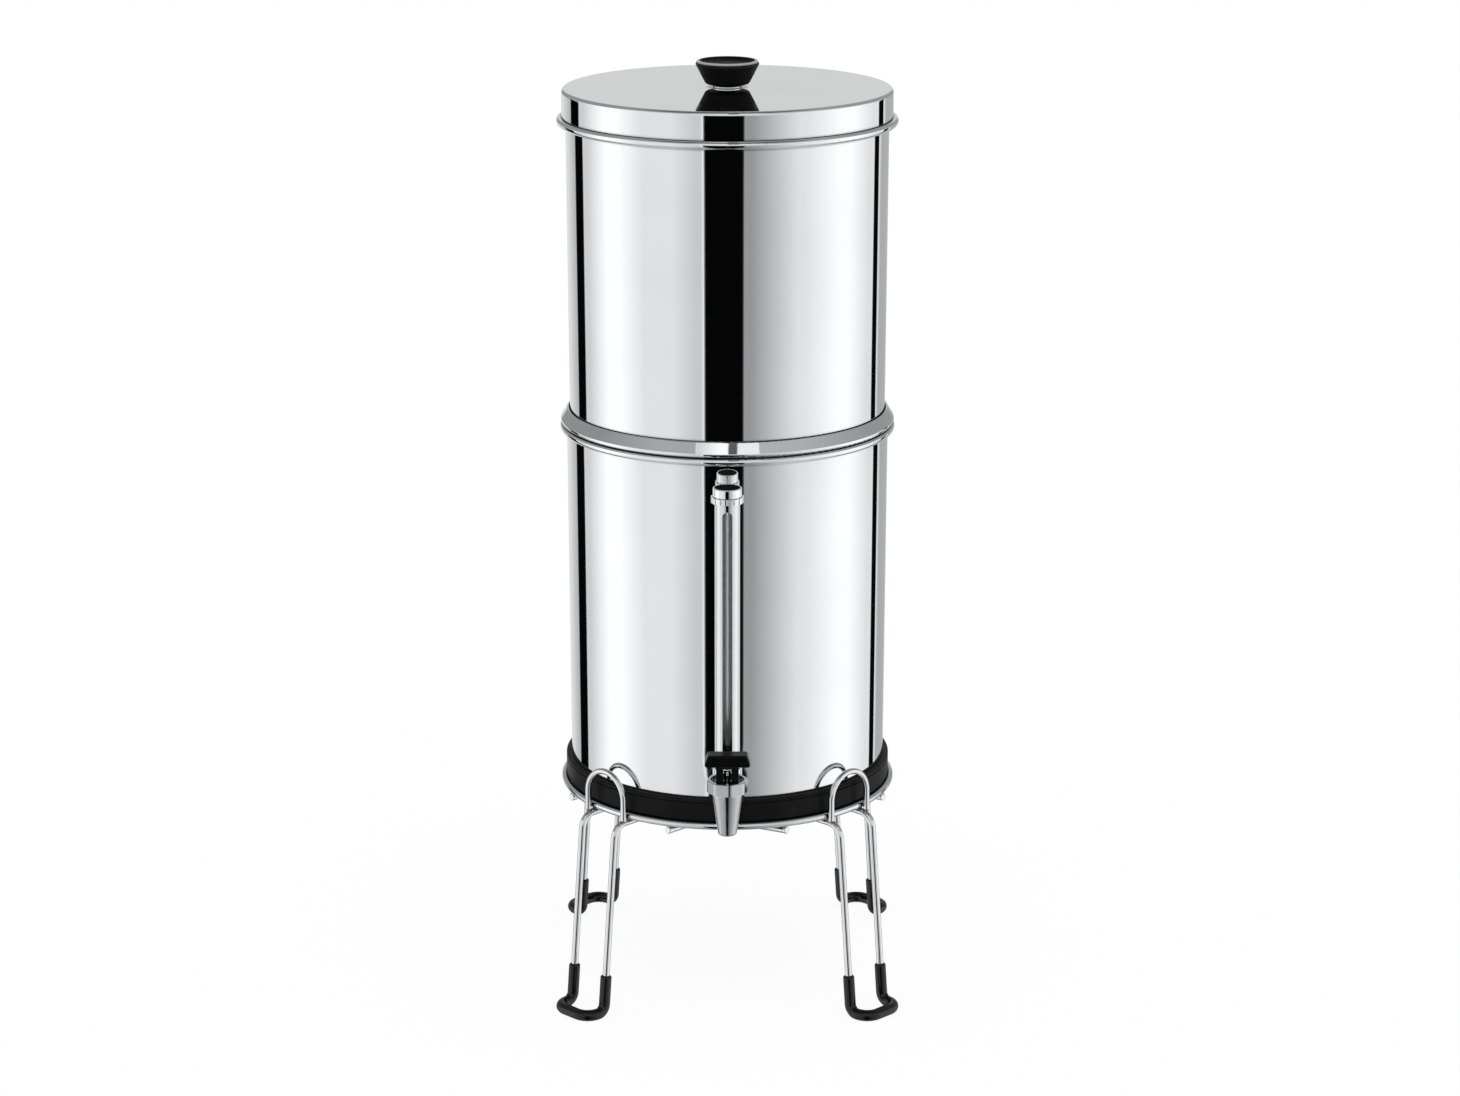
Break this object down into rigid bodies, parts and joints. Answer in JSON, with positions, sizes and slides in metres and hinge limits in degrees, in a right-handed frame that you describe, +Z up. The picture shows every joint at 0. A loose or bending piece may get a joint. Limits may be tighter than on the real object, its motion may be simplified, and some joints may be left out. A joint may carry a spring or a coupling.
{
  "type": "gravity water filter",
  "caption": "Countertop gravity water filter: stacked polished chambers with a lid, front level gauge and lever tap, standing on a raised wire stand with rubber feet.",
  "frame": {"origin": "on the chambers' vertical axis, at the level of the surface that the four feet stand on", "axes": "+Z up along the chambers' axis, -Y towards the tap and gauge at the front, +X to the right seen from the front"},
  "size_m": [0.2308, 0.2886, 0.6298],
  "materials": {
    "polished_steel": "mirror polished stainless steel sheet",
    "bright_wire": "bright stainless wire",
    "chrome_plate": "chrome plated brass",
    "black_rubber": "matt moulded rubber",
    "black_gloss": "gloss moulded plastic",
    "clear_tube": "clear tube",
    "carbon": "pressed carbon block",
    "grey_plastic": "moulded plastic",
    "silicone": "pale silicone"
  },
  "bodies": {
    "stand": {"stand_leg_front_left": "bright_wire", "stand_guard_front_left": "bright_wire", "foot_sleeve_front_left": "black_rubber", "stand_leg_front_right": "bright_wire", "stand_guard_front_right": "bright_wire", "foot_sleeve_front_right": "black_rubber", "stand_leg_back_left": "bright_wire", "stand_guard_back_left": "bright_wire", "foot_sleeve_back_left": "black_rubber", "stand_leg_back_right": "bright_wire", "stand_guard_back_right": "bright_wire", "foot_sleeve_back_right": "black_rubber", "stand_ring": "bright_wire", "stand_rod_straight_a": "bright_wire", "stand_rod_straight_b": "bright_wire", "stand_rod_joggled_a": "bright_wire", "stand_rod_joggled_b": "bright_wire"},
    "lower_chamber_set": {"base_ring": "black_rubber", "lower_chamber": "polished_steel", "tap_body": "chrome_plate", "tap_bonnet": "chrome_plate", "shank_washer_outer": "black_rubber", "shank_washer_middle": "black_rubber", "shank_washer_inner": "black_rubber", "shank_nut": "chrome_plate", "gauge_base": "chrome_plate", "gauge_seal": "black_rubber", "gauge_glass": "clear_tube", "gauge_sheath": "polished_steel", "gauge_collar": "chrome_plate", "gauge_cap": "chrome_plate", "gauge_vent_plug": "black_gloss"},
    "tap_valve": {"valve_stem": "polished_steel", "valve_seat_cup": "silicone", "lever_pin": "polished_steel"},
    "tap_lever_body": {"tap_lever": "black_gloss"},
    "upper_chamber_set": {"upper_chamber": "polished_steel", "seating_collar": "polished_steel", "filter_element_left": "carbon", "filter_element_right": "carbon", "filter_base_left": "grey_plastic", "filter_base_right": "grey_plastic", "blanking_plug_front": "grey_plastic", "blanking_plug_back": "grey_plastic", "stem_gaskets": "black_rubber", "wing_nuts": "grey_plastic"},
    "lid_set": {"lid": "polished_steel", "lid_knob": "black_gloss", "knob_washer": "polished_steel", "knob_screw": "bright_wire"}
  },
  "joints": [
    {"name": "chambers_lift", "type": "slide", "parent": "stand", "child": "lower_chamber_set", "axis": [0, 0, 1], "range_m": [0, 0.06]},
    {"name": "upper_lift", "type": "slide", "parent": "lower_chamber_set", "child": "upper_chamber_set", "axis": [0, 0, 1], "range_m": [0, 0.08]},
    {"name": "lid_lift", "type": "slide", "parent": "upper_chamber_set", "child": "lid_set", "axis": [0, 0, 1], "range_m": [0, 0.05]},
    {"name": "valve_lift", "type": "slide", "parent": "lower_chamber_set", "child": "tap_valve", "axis": [0, 0, 1], "range_m": [0, 0.003]},
    {"name": "lever_tilt", "type": "hinge", "parent": "tap_valve", "child": "tap_lever_body", "pos_m": [0, -0.16, 0.18596], "axis": [1, 0, 0], "range_deg": [0, 35], "stiffness_Nm_per_rad": 0.02, "springref_deg": -11.46}
  ],
  "couplings": [
    {"joint": "lever_tilt", "follows": "valve_lift", "rad_per_m": 203.6}
  ]
}
